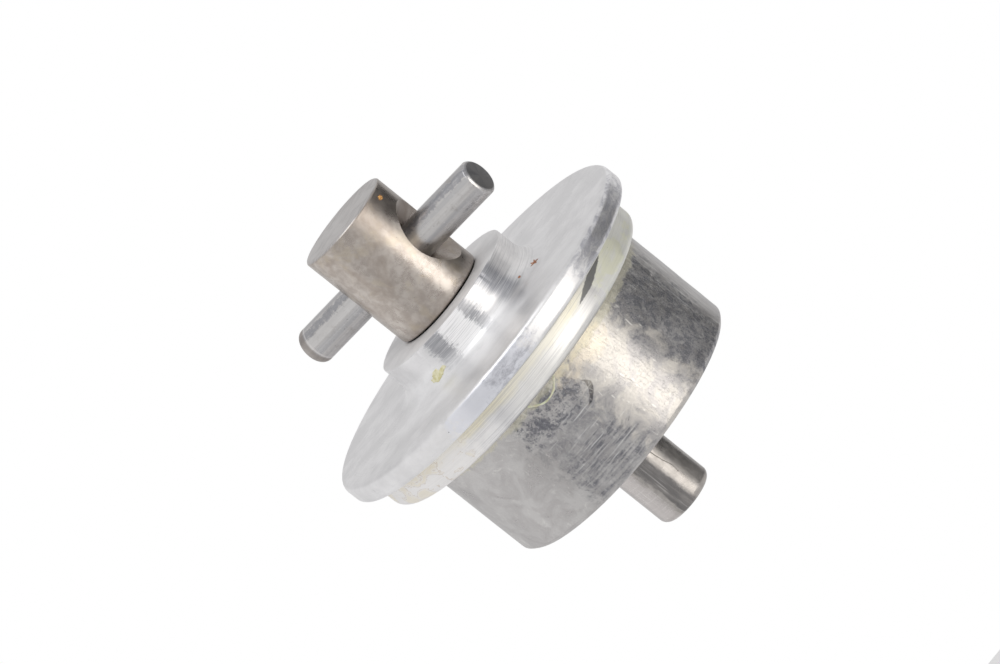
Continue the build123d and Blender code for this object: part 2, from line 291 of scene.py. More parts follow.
def step_stains(n, p, color):
    """Ochre in the corner under the rim, painted shade over the step's bright stretch, a cleaned front, and
    turning marks, on the hub's side too.
    """
    tide = n.math("ADD", n.z, n.swing(n.noise(3.0, 4.0, 0.6, (1, 1, 0.3)), 3.0))
    p.ochre = n.times(p.below, n.ramp(tide, -2.3, -1.1), n.band(p.around, -46, 24, 14))
    color = n.tint(color, (0.85, 0.79, 0.56), p.ochre, 0.62)
    # painted shade: the step darkened, yellowish grey, where the bright light falls
    color = n.tint(color, (0.66, 0.65, 0.60), p.below, n.band(p.around, 2, 30, 10), 0.3)
    color = n.tint(color, (0.95, 0.94, 0.90), p.below, n.band(p.around, -8, 14, 7), 0.4)
    marked = n.highest(p.below, n.times(p.side, n.ramp(p.around, -34, -24)))
    return n.tint(color, (0.40, 0.40, 0.41), marked, n.ramp(p.turned, 0.46, 0.62), 0.34)


def step_films(n, p, color):
    """Dried films on the step's left and right, the left one outlined in brown."""
    brown = n.ramp(n.noise(1.6, 5.0, 0.65, (1, 1, 1.8), (5, 9, 0)), 0.60, 0.66)
    color = n.tint(color, (0.62, 0.50, 0.34), p.below, n.band(p.around, -70, -24, 10), brown, 0.4)
    whitened = n.times(p.below, n.band(p.wavy, -94, -34, 10))
    color = n.tint(color, (0.90, 0.885, 0.87), whitened, 0.7)
    dried = n.noise(6.0, 4.0, 0.55, (1, 1, 1.6), (1, 15, 4), 0.5)
    p.left_film = n.times(whitened, n.ramp(dried, 0.50, 0.56))
    color = n.tint(color, (0.86, 0.80, 0.66), p.left_film, 0.6)
    color = n.tint(color, (0.52, 0.41, 0.28), whitened, n.band(dried, 0.500, 0.508, 0.008), 0.38)
    p.right_film = n.times(p.below, n.band(p.wavy, 40, 90, 9), n.ramp(p.cloud, 0.18, 0.44))
    color = n.tint(color, (0.80, 0.805, 0.745), p.right_film, 0.6)
    return n.tint(color, (0.80, 0.80, 0.60), p.right_film, n.ramp(dried, 0.48, 0.60), 0.5)


def step_wedge(n, p, color):
    """Painted shade on the step just under the rim: a dark patch pointed at both ends and slanting down
    towards the left.
    """
    along = n.times(n.math("ADD", p.around, -36.0), 1 / 11.0)
    half = n.math("MULTIPLY_ADD", n.times(along, along), -0.66, 0.66)
    middle = n.math("MULTIPLY_ADD", n.math("ADD", p.around, -45.0), 0.075, -0.5)
    away = n.math("ABSOLUTE", n.math("SUBTRACT", n.math("MULTIPLY_ADD", p.tear, 0.8, n.z), middle))
    inside = n.ramp(n.math("SUBTRACT", half, away), 0.0, 0.16)
    # painted shade under the rim
    return n.tint(color, (0.13, 0.13, 0.135), p.below, inside, 0.85)


def face_wear(n, p, color):
    """Faint circles and blots on the rim's face, and painted highlights: whiter metal in front and at the
    hub's foot.
    """
    color = n.tint(color, (0.55, 0.55, 0.56), p.face, n.ramp(p.faced, 0.48, 0.66), 0.16)
    blot = n.ramp(n.noise(2.4, 5.0, 0.62, offset=(9, 4, 1), distort=0.6), 0.54, 0.66)
    color = n.tint(color, (0.60, 0.595, 0.605), p.face, blot, 0.28)
    # painted highlight: the face whitened in front
    p.pale = n.times(p.face, n.band(p.around, -24, 34, 22))
    color = n.tint(color, (0.95, 0.95, 0.95), p.pale, 0.5)
    # painted highlight: the hub's foot whitened
    p.foot = n.times(n.ramp(p.radius, HUB_R - 0.4, HUB_R + 0.6), n.band(p.radius, 10, 19, 5),
                     n.ramp(n.z, 7.0, 5.0), n.band(p.around, -60, 18, 20))
    return n.tint(color, (0.93, 0.93, 0.94), p.foot, n.ramp(p.smudge, 0.30, 0.60, 1.0, 0.55), 0.6)


def flange_oxide(n, p):
    """How much white oxide dulls the metal's reflections, place by place; on the painted highlights it is
    dull white metal that stands in for light.
    """
    sides = n.times(p.side, n.ramp(n.math("ABSOLUTE", p.around), 44, 58))
    left_edge = n.times(n.highest(p.on_rim, p.below), n.band(p.around, -90, -22, 6))
    right_edge = n.times(p.on_rim, n.ramp(p.wavy, 50, 64))
    return n.highest(n.times(p.crown, 0.75), n.times(p.foot, 0.6), n.times(sides, 0.9), n.times(p.face, 0.22),
                     n.times(p.pale, 0.40), n.times(p.polished, 0.8), n.times(p.dull, 0.6),
                     n.times(right_edge, 0.20), n.times(left_edge, 0.62))


def aluminium_material():
    n = Material("turned_aluminium")
    p = flange_patterns(n)
    color = n.mix(n.ramp(p.cloud, 0.35, 0.68), (0.73, 0.725, 0.73), (0.85, 0.845, 0.85))
    color = n.tint(color, (0.60, 0.60, 0.61), n.ramp(p.smudge, 0.52, 0.74), 0.30)
    for wear in (hub_wear, rim_wear, step_stains, step_films, step_wedge):
        color = wear(n, p, color)
    speck = n.ramp(n.noise(0.45, 2.0, 0.5, offset=(3, 3, 3)), 0.765, 0.79)
    color = n.tint(color, (0.16, 0.16, 0.16), speck, 0.8)
    color = face_wear(n, p, color)
    hub_right = n.times(p.side, n.ramp(p.around, 24, 40))
    rough = n.total((0.28, 1.0), (0.10, n.ramp(p.cloud, 0.3, 0.7)), (0.12, p.face), (0.16, p.crown),
                    (0.22, p.right_film), (0.20, p.left_film), (0.12, p.ochre), (0.08, p.grime),
                    (0.08, hub_right), (0.05, p.on_rim), (0.07, p.below))
    ring_z, ring_r = n.rings(n.z, 0.22), n.rings(p.radius, 0.25)
    upright = n.math("SUBTRACT", 1.0, p.level)
    height = n.total((0.45, n.times(ring_z, p.side)), (0.25, n.times(ring_z, upright)),
                     (0.05, n.times(ring_r, p.level)), (0.20, n.noise(0.30, 4.0, 0.6)), (0.30, p.turned),
                     (0.25, n.times(p.faced, p.level)), (1.2, p.ochre), (1.5, p.right_film),
                     (1.2, p.left_film))
    metallic = n.math("SUBTRACT", 1.0, flange_oxide(n, p))
    return n.finish(color, rough, height, depth=0.006, metallic=metallic)


# ---- the drum's metal ----------------------------------------------------------------------------
def drum_patterns(n):
    """What the drum's marks share: wavy and high are its degrees and heights with ragged borders."""
    p = SimpleNamespace(around=n.around(DRUM_X), speckle=n.noise(0.45, 5.0, 0.7, (1, 1, 1.2)))
    p.girth = n.girth(p.around, DRUM_R)
    ragged = n.swing(n.noise(3.2, 6.0, 0.72, distort=1.2), 34)
    p.wavy = n.math("ADD", p.around, ragged)
    p.high = n.math("ADD", n.z, n.times(ragged, 0.10))
    p.cloud = n.noise(4.4, 6.0, 0.62, offset=(12, 0, 7), distort=0.8)
    p.clot = n.noise(1.5, 7.0, 0.74, offset=(7, 7, 1), distort=0.3)
    p.scuffs = n.streaks(p.girth, n.z, 0.55, 9)
    return p


def drum_comma(n, p):
    """A black mark in front, bent like a comma and narrow at its top."""
    rise = n.math("ADD", n.z, 10.9)
    slant = n.math("MULTIPLY_ADD", rise, 1.5, 4.6)
    spine = n.math("MULTIPLY_ADD", n.times(rise, rise), -1.1, slant)
    half = n.ramp(n.z, -9.6, -10.6, 0.4, 1.25)
    away = n.math("ABSOLUTE", n.math("SUBTRACT", p.around, spine))
    return n.times(n.ramp(n.math("SUBTRACT", half, away), -0.15, 0.35), n.band(n.z, -12.3, -9.5, 0.3))


def drum_stain(n, p):
    """The dark stains: three in front, one above the other, one on the right that is also a painted dark
    reflection, and two at the back.
    """
    grit = n.highest(n.ramp(p.clot, 0.44, 0.57), n.times(n.ramp(p.speckle, 0.51, 0.62), 0.85))
    front = n.band(p.wavy, -23, 1, 6)
    top = n.times(front, n.band(p.high, -11.3, -6.2, 0.9), grit)
    middle = n.times(front, n.band(p.high, -16.4, -11.0, 1.0), n.ramp(p.clot, 0.40, 0.62, 0.22, 0.60))
    low = n.times(front, n.band(p.high, -23.0, -16.0, 1.2), n.math("MULTIPLY_ADD", grit, 0.5, 0.5),
                  n.ramp(p.scuffs, 0.40, 0.60, 0.35, 1.0))
    # painted dark reflection on the drum's right, speckled with stain grit
    right = n.times(n.band(p.wavy, 34, 62, 7), n.math("MULTIPLY_ADD", grit, 0.65, 0.30))
    back = n.times(n.band(p.wavy, -148, -116, 10), n.band(p.high, -21, -10, 2.5), grit,
                   n.ramp(p.cloud, 0.36, 0.56), 0.8)
    side = n.times(n.band(p.wavy, 118, 150, 10), n.band(p.high, -16, -6, 1.5), grit, 0.7)
    return n.highest(top, low, right, n.math("ADD", back, side), middle, p.comma)


def drum_scratches(n, p):
    """Hair scratches all over, and stronger ones round the front."""
    slim = n.band(n.noise(0.9, 3.0, 0.5, (1, 1, 0.12), (9, 1, 4), 2.5), 0.497, 0.503, 0.004)
    crossing = n.band(n.noise(1.6, 2.0, 0.5, (1, 1, 1.8), (19, 11, 4), 3.0), 0.498, 0.502, 0.004)
    front = n.times(n.ramp(p.scuffs, 0.62, 0.70), n.band(p.around, -24, 8, 6), 0.7)
    return n.highest(slim, crossing, front)


def drum_rubs(n, p, color):
    """Bright rubbed lines, a worn right edge, and pale flecks in the stains."""
    rubs = n.ramp(n.streaks(p.girth, n.z, 0.28, 34), 0.60, 0.67)
    rubs = n.times(rubs, n.band(p.around, -20, 3, 5), n.band(n.z, -20, -12, 2))
    color = n.tint(color, (0.80, 0.80, 0.80), rubs, 0.6)
    worn = n.ramp(n.streaks(n.z, p.girth, 0.5, 14), 0.50, 0.62)
    worn = n.times(worn, n.band(p.around, 62, 96, 8), n.ramp(p.cloud, 0.35, 0.55))
    color = n.tint(color, (0.80, 0.79, 0.78), worn, 0.55)
    flecks = n.ramp(n.noise(0.32, 4.0, 0.7, (1, 1, 0.7), (6, 16, 3)), 0.58, 0.66)
    return n.tint(color, (0.66, 0.66, 0.67), flecks, p.stain, 0.5)


def drum_residue(n, p, color):
    """Warm bare metal right of the front stains, with flakes on it, and sealant's film under the step."""
    warm = n.times(n.band(p.wavy, 5, 32, 8), n.band(n.z, -24, -8, 4), n.ramp(p.cloud, 0.38, 0.58))
    color = n.tint(color, (0.80, 0.74, 0.64), warm, 0.35)
    flakes = n.ramp(n.noise(0.7, 1.0, 0.5, (1, 1, 0.35), (21, 5, 3)), 0.68, 0.74)
    flakes = n.times(flakes, n.band(p.around, -2, 34, 6), n.band(n.z, -19, -8, 2))
    color = n.tint(color, (0.95, 0.93, 0.88), flakes, 0.6)
    p.residue = n.times(n.band(p.high, -6.4, -4.9, 0.6), n.band(p.around, -70, 62, 22),
                        n.ramp(p.cloud, 0.36, 0.50))
    color = n.tint(color, (0.72, 0.69, 0.52), p.residue, 0.45)
    ochre = n.times(n.band(p.high, -8.2, -4.8, 1.4), n.band(p.wavy, 2, 22, 6), n.ramp(p.cloud, 0.36, 0.56))
    return n.tint(color, (0.90, 0.74, 0.48), ochre, 0.24)


def drum_material():
    n = Material("drum_metal")
    p = drum_patterns(n)
    color = n.mix(n.ramp(p.cloud, 0.36, 0.64), (0.44, 0.425, 0.42), (0.56, 0.548, 0.54))
    pale = n.ramp(n.noise(1.4, 6.0, 0.66, offset=(50, 2, 2), distort=0.7), 0.58, 0.68)
    pale = n.times(pale, n.ramp(p.cloud, 0.42, 0.55))
    color = n.tint(color, (0.76, 0.75, 0.72), pale, 0.55)
    p.comma = drum_comma(n, p)
    p.stain = drum_stain(n, p)
    color = n.tint(color, (0.13, 0.135, 0.16), p.stain, 0.86)
    color = n.tint(color, (0.06, 0.06, 0.07), p.comma, 0.85)
    color = drum_residue(n, p, drum_rubs(n, p, color))
    hair = drum_scratches(n, p)
    color = n.tint(color, (0.80, 0.79, 0.76), hair, 0.40)
    rough = n.total((0.14, n.ramp(p.cloud, 0.3, 0.7)), (0.14, p.stain), (0.10, p.speckle), (0.12, p.residue),
                    (0.22, 1.0))
    height = n.total((0.5, p.speckle), (0.4, n.noise(0.22, 3.0, 0.6)), (0.3, p.cloud), (0.5, pale),
                     (-0.8, hair), (1.0, p.residue), (-0.8, p.comma))
    return n.finish(color, rough, height, depth=0.012)


# ---- the shafts' steel: the head is brown and patinated, the output end is ground ----------------
def head_color(n, p):
    """The drive head's warm steel, with painted shade (a dark reflection) on the right edge and upper corner,
    and a brushed top.
    """
    color = n.mix(n.ramp(p.mottle, 0.34, 0.68), (0.42, 0.375, 0.34), (0.555, 0.51, 0.468))
    color = n.tint(color, (0.36, 0.30, 0.255), n.ramp(p.blotch, 0.46, 0.66), 0.5)
    straw = n.ramp(n.noise(3.2, 5.0, 0.65, (1, 1, 0.8), (40, 4, 2), 0.5), 0.52, 0.66)
    color = n.tint(color, (0.53, 0.46, 0.35), straw, 0.38)
    # painted shade: dark reflection down the right edge and over the upper corner
    edge = n.times(p.head, n.ramp(p.around, 44, 66), n.ramp(p.around, 110, 90))
    corner = n.times(n.band(p.around, 16, 60, 9), n.ramp(n.z, HEAD_TOP - 6.0, HEAD_TOP - 3.0))
    color = n.tint(color, (0.22, 0.19, 0.17), n.highest(edge, corner), 0.45)
    brushing = n.streaks(n.math("ADD", n.x, n.y), n.math("SUBTRACT", n.x, n.y), 0.45, 18)
    patches = n.times(n.ramp(brushing, 0.35, 0.65), n.ramp(p.blotch, 0.36, 0.62, 0.3, 1.0))
    grey = n.mix(patches, (0.57, 0.55, 0.54), (0.42, 0.41, 0.405))
    return n.tint(color, grey, p.crown, 0.9)


def output_color(n, p, color):
    """The output end's grey steel: drawn lines, a scored front with a painted dark reflection, a rosy left
    lightened by painted light, and painted shade on the right edge.
    """
    steel = n.mix(n.ramp(p.mottle, 0.35, 0.65), (0.37, 0.355, 0.34), (0.46, 0.44, 0.42))
    color = n.tint(color, steel, p.end, 0.8)
    color = n.tint(color, (0.26, 0.245, 0.23), p.end, n.ramp(p.lines, 0.45, 0.66), 0.32)
    torn = n.noise(1.6, 6.0, 0.7, (1, 1, 0.5), (3, 8, 2))
    torn = n.math("ADD", p.around, n.swing(torn, 26))
    # painted dark reflection across the front, scored by the drawn lines
    scored = n.times(n.band(torn, -20, 6, 5), p.end)
    color = n.tint(color, (0.165, 0.16, 0.16), scored, n.ramp(p.lines, 0.30, 0.56, 0.6, 1.0), 0.82)
    # painted light: the left side lightened, with a rosy tone
    rosy = n.times(p.end, n.ramp(torn, -26, -36))
    color = n.tint(color, (0.60, 0.565, 0.555), rosy, 0.6)
    rings = n.ramp(n.streaks(p.girth, n.z, 0.2, 40), 0.56, 0.66)
    color = n.tint(color, (0.74, 0.71, 0.70), rosy, rings, 0.4)
    # painted shade: the right edge darkened
    edge = n.times(n.ramp(p.around, 52, 70), n.ramp(n.z, -31, -27), p.end)
    color = n.tint(color, (0.22, 0.215, 0.21), edge, 0.72)
    hairs = n.ramp(n.streaks(n.z, p.girth, 0.16, 60), 0.61, 0.66)
    return n.tint(color, (0.80, 0.78, 0.76), hairs, p.end, n.band(p.around, -70, 14, 8), 0.55)


def stuck_fibre(n, p):
    """A dark hair stuck to the output end: one long arm along it, and a short one that hooks off."""
    sway = n.math("ADD", p.around, n.swing(n.noise(2.4, 2.0, 0.5, offset=(2, 6, 1)), 12))
    slope = n.math("ADD", n.math("ADD", n.z, 26.6), sway)
    long_arm = n.times(n.band(slope, 20.6, 21.4, 0.5), n.band(n.z, -33.0, -26.5, 0.2))
    hook = n.math("MULTIPLY_ADD", n.math("ADD", sway, -21.0), -0.11, n.z)
    short_arm = n.times(n.band(hook, -26.66, -26.50, 0.06), n.band(sway, 20.5, 33, 0.6))
    return n.times(n.highest(long_arm, short_arm), p.end, 0.75)


def shaft_material():
    n = Material("shaft_steel")
    p = SimpleNamespace(around=n.around(), head=n.ramp(n.z, 0.0, 6.0))
    p.blotch = n.noise(4.6, 5.0, 0.62, (1, 1, 0.7), (4, 4, 9), 0.6)
    p.mottle = n.noise(1.3, 5.0, 0.62, offset=(14, 2, 1), distort=0.3)
    p.crown = n.times(n.ramp(n.z, HEAD_TOP - 0.2, HEAD_TOP - 0.1), p.head)
    p.end = n.math("SUBTRACT", 1.0, p.head)
    p.girth = n.girth(p.around, SHAFT_R)
    p.lines = n.streaks(n.z, p.girth, 0.5, 14)
    color = output_color(n, p, head_color(n, p))
    speck = n.ramp(n.noise(0.3, 2.0, 0.5, offset=(33, 3, 3)), 0.74, 0.78)
    color = n.tint(color, (0.12, 0.10, 0.09), speck, 0.6)
    fibre = stuck_fibre(n, p)
    color = n.tint(color, (0.06, 0.055, 0.05), fibre)
    rough = n.total((0.08, p.mottle), (0.12, n.ramp(p.blotch, 0.4, 0.7)), (0.06, p.crown), (0.23, 1.0))
    height = n.total((1.5, n.noise(0.16, 3.0, 0.6)), (1.2, p.mottle), (-1.2, speck), (-2.0, fibre),
                     (0.5, n.times(p.lines, p.end)))
    return n.finish(color, rough, height, depth=0.006)


# ---- the other materials -------------------------------------------------------------------------
def pin_material():
    """Ground steel drawn along the pin, with a painted dark reflection band and a painted highlight stripe
    beside it, darker ends, and a brown domed end edged by a painted highlight line.
    """
    n = Material("pin_steel")
    mottle = n.noise(1.8, 4.0, 0.6, offset=(1, 9, 1))
    dx, dy = cos(PIN_ANGLE), sin(PIN_ANGLE)
    lengthwise = n.math("MULTIPLY_ADD", n.x, dx, n.times(n.y, dy))
    across = n.math("MULTIPLY_ADD", n.y, dx, n.times(n.x, -dy))
    turn = n.times(n.math("ARCTAN2", across, n.math("SUBTRACT", n.z, PIN_Z)), PIN_R)
    drawn = n.streaks(lengthwise, turn, 0.35, 40)
    bands = n.streaks(lengthwise, turn, 1.6, 60, 2.0)
    color = n.mix(n.ramp(drawn, 0.35, 0.65), (0.555, 0.54, 0.53), (0.63, 0.615, 0.605))
    color = n.tint(color, (0.38, 0.385, 0.405), n.ramp(bands, 0.46, 0.60), 0.55)
    worn = n.noise(0.8, 5.0, 0.7, offset=(6, 2, 11))
    color = n.tint(color, (0.34, 0.315, 0.295), n.ramp(mottle, 0.50, 0.66), n.ramp(worn, 0.40, 0.62), 0.55)
    color = n.tint(color, (0.80, 0.79, 0.78), n.ramp(worn, 0.56, 0.68), 0.25)
    ragged = n.math("ADD", turn, n.swing(worn, 2.6))
    # painted dark reflection: a bluish band along the pin
    seam = n.times(n.band(ragged, -2.45, -1.45, 0.3), n.ramp(worn, 0.34, 0.52, 0.5, 1.0))
    color = n.tint(color, (0.25, 0.26, 0.295), seam, 0.6)
    # painted highlight: a light stripe beside the dark band
    color = n.tint(color, (0.78, 0.77, 0.76), n.band(turn, -4.0, -3.0, 0.5), 0.35)
    speck = n.ramp(n.noise(0.35, 2.0, 0.5, offset=(3, 53, 3)), 0.72, 0.76)
    color = n.tint(color, (0.10, 0.10, 0.10), speck, 0.7)
    ends = n.ramp(n.math("ABSOLUTE", lengthwise), PIN_HALF - 0.2, PIN_HALF - 0.1)
    color = n.tint(color, (0.20, 0.20, 0.205), ends, 0.6)
    outwards = n.times(lengthwise, -1.0)
    dome = n.ramp(outwards, PIN_HALF - 1.8, PIN_HALF - 1.5)
    color = n.tint(color, (0.30, 0.265, 0.24), dome, 0.7)
    # painted highlight: a light line where the dome begins
    color = n.tint(color, (0.82, 0.79, 0.77), n.band(outwards, PIN_HALF - 1.95, PIN_HALF - 1.85, 0.12), 0.5)
    rough = n.total((0.06, drawn), (0.08, mottle), (0.10, ends), (0.08, dome), (0.22, 1.0))
    height = n.total((0.6, drawn), (0.4, mottle), (-1.5, speck))
    return n.finish(color, rough, height, depth=0.005)


def plain_metal(name, dark, light, rough_low, rough_high):
    """A machined inner part: a mottled metal with an oil film and fine tool marks."""
    n = Material(name)
    film, marks = n.noise(1.2, 5.0, 0.6), n.noise(0.2, 3.0, 0.6, (1, 1, 0.3))
    color = n.mix(n.ramp(film, 0.35, 0.65), dark, light)
    rough = n.ramp(film, 0.3, 0.7, rough_low, rough_high)
    return n.finish(color, rough, n.total((1.0, marks), (0.6, film)), depth=0.008)


def crust(name, dark, light, cloud_size, grain_size, rough, depth):
    """Something dry and grainy on the metal: old paint or rust."""
    n = Material(name)
    cloud, grain = n.noise(cloud_size, 5.0, 0.6), n.noise(grain_size, 3.0, 0.6)
    color = n.mix(n.ramp(cloud, 0.35, 0.65), dark, light)
    return n.finish(color, n.ramp(cloud, 0.3, 0.7, *rough), grain, depth, metallic=0.0)


def rubber_material():
    """Black seal rubber with grey dust."""
    n = Material("seal_rubber")
    grain, dust = n.noise(0.15, 3.0, 0.6), n.noise(1.0, 5.0, 0.65)
    color = n.mix(n.ramp(dust, 0.5, 0.75), (0.018, 0.018, 0.018), (0.075, 0.07, 0.065))
    return n.finish(color, n.ramp(dust, 0.3, 0.7, 0.50, 0.72), grain, depth=0.02, metallic=0.0)


def sealant_material():
    """Yellowish dried sealant, browned in places, that lets a little light in."""
    n = Material("sealant")
    cloud, grain = n.noise(0.9, 5.0, 0.6), n.noise(0.2, 3.0, 0.6)
    color = n.mix(n.ramp(cloud, 0.35, 0.65), (0.56, 0.54, 0.36), (0.76, 0.74, 0.58))
    browned = n.ramp(n.noise(2.0, 3.0, 0.5, offset=(8, 8, 8)), 0.60, 0.70)
    color = n.tint(color, (0.36, 0.27, 0.16), browned, 0.6)
    n.bsdf.inputs["Subsurface Weight"].default_value = 0.15
    n.bsdf.inputs["Subsurface Scale"].default_value = 0.6 * MM
    return n.finish(color, n.ramp(cloud, 0.3, 0.7, 0.35, 0.6), grain, depth=0.03, metallic=0.0)


ALUMINIUM, DRUM, SHAFT, PIN = aluminium_material(), drum_material(), shaft_material(), pin_material()
RUBBER, SEALANT = rubber_material(), sealant_material()
CHIP = crust("old_paint", (0.62, 0.58, 0.30), (0.80, 0.77, 0.56), 0.6, 0.15, (0.4, 0.6), 0.03)
RUST = crust("rust", (0.36, 0.15, 0.05), (0.74, 0.42, 0.13), 0.3, 0.1, (0.6, 0.9), 0.05)
BROWN_RUST = crust("brown_rust", (0.22, 0.09, 0.05), (0.46, 0.22, 0.12), 0.3, 0.1, (0.6, 0.9), 0.05)
GEAR = plain_metal("gear_steel", (0.27, 0.27, 0.28), (0.42, 0.42, 0.43), 0.22, 0.38)
SPRING = plain_metal("spring_steel", (0.07, 0.07, 0.08), (0.16, 0.16, 0.17), 0.28, 0.45)
BRONZE = plain_metal("bush_bronze", (0.50, 0.33, 0.16), (0.68, 0.49, 0.27), 0.28, 0.46)


# ---- mesh helpers: outlines and places are in millimetres ----------------------------------------
CREASE = 28
BEAD_SIDES, THREAD_SIDES, FLAKE_SIDES = 8, 6, 36


def sharpen(mesh, degrees=CREASE):
    """Smooth shading, except over edges that turn by more than this."""
    mesh.shade_smooth()
    mesh.set_sharp_from_angle(angle=radians(degrees))


def to_object(name, bm, material, body, replaced=(), crease=CREASE):
    """A piece from a bmesh, riding on a body and standing for the CAD nodes that it replaces."""
    mesh = bpy.data.meshes.new(name)
    bmesh.ops.recalc_face_normals(bm, faces=bm.faces)
    bm.to_mesh(mesh)
    bm.free()
    mesh.materials.append(material)
    sharpen(mesh, crease)
    piece = bpy.data.objects.new(name, mesh)
    scene.collection.objects.link(piece)
    if replaced:
        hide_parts(*replaced)
    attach(piece, body)
    return piece


def add_vert(bm, x, y, z):
    return bm.verts.new((x * MM, y * MM, z * MM))


def turns(count):
    """Angles in radians, spread evenly round a circle."""
    return [2 * pi * k / count for k in range(count)]


def skin(bm, rings, closed=False):
    """Joins rings of vertices into a tube that is closed on itself, or capped at both ends."""
    following = rings[1:] + rings[:1] if closed else rings[1:]
    for a, b in zip(rings, following):
        for k in range(len(a)):
            after = (k + 1) % len(a)
            bm.faces.new((a[k], a[after], b[after], b[k]))
    if not closed:
        bm.faces.new(rings[0])
        bm.faces.new(rings[-1])


def rounded(outline, size, steps=3):
    """An (r, z) outline with each corner off the axis rounded by size, where its sides are long enough."""
    out = []
    for i, point in enumerate(outline):
        here = Vector(point)
        a = Vector(outline[i - 1]) - here
        b = Vector(outline[(i + 1) % len(outline)]) - here
        straight = abs(a.normalized().dot(b.normalized())) > 0.98
        if point[0] < ON_AXIS or min(a.length, b.length) < 2.2 * size or straight:
            out.append((here.x, here.y))
            continue
        start, end = here + a.normalized() * size, here + b.normalized() * size
        for k in range(steps + 1):
            t = k / steps
            spot = start * (1 - t) ** 2 + here * 2 * t * (1 - t) + end * t ** 2
            out.append((spot.x, spot.y))
    return out


def lathe(outline, segments, centre_x=0.0, shift=None):
    """A closed solid of revolution from a closed (r, z) outline.

    shift(r, angle, z) may return a moved (r, z).  Outline points on the axis become one vertex.
    """
    bm = bmesh.new()
    rows = []
    for r, z in outline:
        if r < ON_AXIS:
            rows.append([add_vert(bm, centre_x, 0, z)] * segments)
            continue
        row = []
        for angle in turns(segments):
            rr, zz = shift(r, angle, z) if shift else (r, z)
            row.append(add_vert(bm, centre_x + rr * cos(angle), rr * sin(angle), zz))
        rows.append(row)
    for row, after in zip(rows, rows[1:] + rows[:1]):
        if row[0] is row[1] and after[0] is after[1]:
            continue
        for i in range(segments):
            k = (i + 1) % segments
            corners = dict.fromkeys((row[i], row[k], after[k], after[i]))
            bm.faces.new(list(corners))
    return bm


def arc(cx, cz, r, start, end, steps):
    """Points of an outline along an arc, from one angle in degrees to another."""
    turn = [radians(start + (end - start) * k / steps) for k in range(steps + 1)]
    return [(cx + r * cos(t), cz + r * sin(t)) for t in turn]


def divided(outline, step):
    """The outline with long runs cut into lengths of about step, so that they can be shifted."""
    out = []
    for i, point in enumerate(outline):
        a, b = Vector(point), Vector(outline[(i + 1) % len(outline)])
        parts = max(1, int((b - a).length / step))
        out += [tuple(a.lerp(b, k / parts)) for k in range(parts)]
    return out


def cut(piece, *tools):
    """Cuts the tools' solids from a piece, and removes them."""
    for tool in tools:
        modifier = piece.modifiers.new("cut", "BOOLEAN")
        modifier.operation, modifier.solver, modifier.object = "DIFFERENCE", "EXACT", tool
    graph = bpy.context.evaluated_depsgraph_get()
    mesh = bpy.data.meshes.new_from_object(piece.evaluated_get(graph))
    piece.modifiers.clear()
    piece.data = mesh
    for tool in tools:
        bpy.data.objects.remove(tool)
    sharpen(mesh)


# ---- flange --------------------------------------------------------------------------------------
outline = [(COVER_BORE, COVER_FLOOR), (COVER_BORE, HUB_TOP - SEAL_DEPTH), (SEAL_POCKET, HUB_TOP - SEAL_DEPTH),
           (SEAL_POCKET, HUB_TOP), (HUB_R - 0.8, HUB_TOP), (HUB_R, HUB_TOP), (HUB_R, HUB_TOP - 0.8)]
outline += arc(HUB_R + HUB_FILLET, RIM_H + HUB_FILLET, HUB_FILLET, 180, 270, 14)
outline += [(RIM_R - 1.8, RIM_H)]
outline += arc(RIM_R - RIM_TOP_ROUND, RIM_H - RIM_TOP_ROUND, RIM_TOP_ROUND, 90, 0, 8)
outline += arc(RIM_R - RIM_LOW_ROUND, RIM_LOW_ROUND, RIM_LOW_ROUND, 0, -90, 7)
outline += [(STEP_R + RELIEF_W, 0), (STEP_R + RELIEF_W, RELIEF_H), (STEP_R, RELIEF_H),
            (STEP_R, STEP_LOW + 2.0)]
outline += arc(STEP_R - STEP_ROUND, STEP_LOW + STEP_ROUND, STEP_ROUND, 0, -90, 8)
outline += [(SPIGOT_R, STEP_LOW), (SPIGOT_R, SPIGOT_LOW), (COVER_INSIDE, SPIGOT_LOW),
            (COVER_INSIDE, COVER_FLOOR)]
outline = rounded(outline, 0.17)

# Knocks on the edges: degrees round from -Y towards +X, the edge's radius, half the width in degrees.
knocks = [(random.uniform(-180, 180), random.choice((HUB_R, RIM_R, STEP_R)), random.uniform(0.8, 2.2))
          for _ in range(16)]
knocks += [(-61, HUB_R, 1.5), (-38, HUB_R, 1.2), (-15, HUB_R, 1.3), (48, RIM_R, 2.5), (-8, RIM_R, 1.6)]
KNOCK_DEPTH = 0.10


def nicked(r, angle, z):
    """Pushes the flange's sharp edges in where a knock hit them."""
    on_edge_height = z > HUB_TOP - 0.2 or RIM_H - 0.8 < z < RIM_H + 0.05 or z < STEP_LOW + 0.9
    at = (angle * 180 / pi + 270) % 360 - 180
    for where, edge_r, width in knocks:
        away = abs((at - where + 180) % 360 - 180)
        on_edge = abs(r - edge_r) < 0.02 or abs(r - edge_r + 0.3) < 0.32
        if on_edge and on_edge_height and away < width:
            r -= KNOCK_DEPTH * (1 - away / width)
    return r, z


to_object("flange_cover_turned", lathe(outline, 360, shift=nicked), ALUMINIUM, "case",
          ["flange_cover"])

# ---- drum ----------------------------------------------------------------------------------------
DRUM_TOP = STEP_LOW + 0.3
outline = rounded([(0, DRUM_TOP), (DRUM_R, DRUM_TOP), (DRUM_R, DRUM_BOTTOM + DRUM_CHAMFER),
                   (DRUM_R - DRUM_CHAMFER, DRUM_BOTTOM), (0, DRUM_BOTTOM)], 0.25)


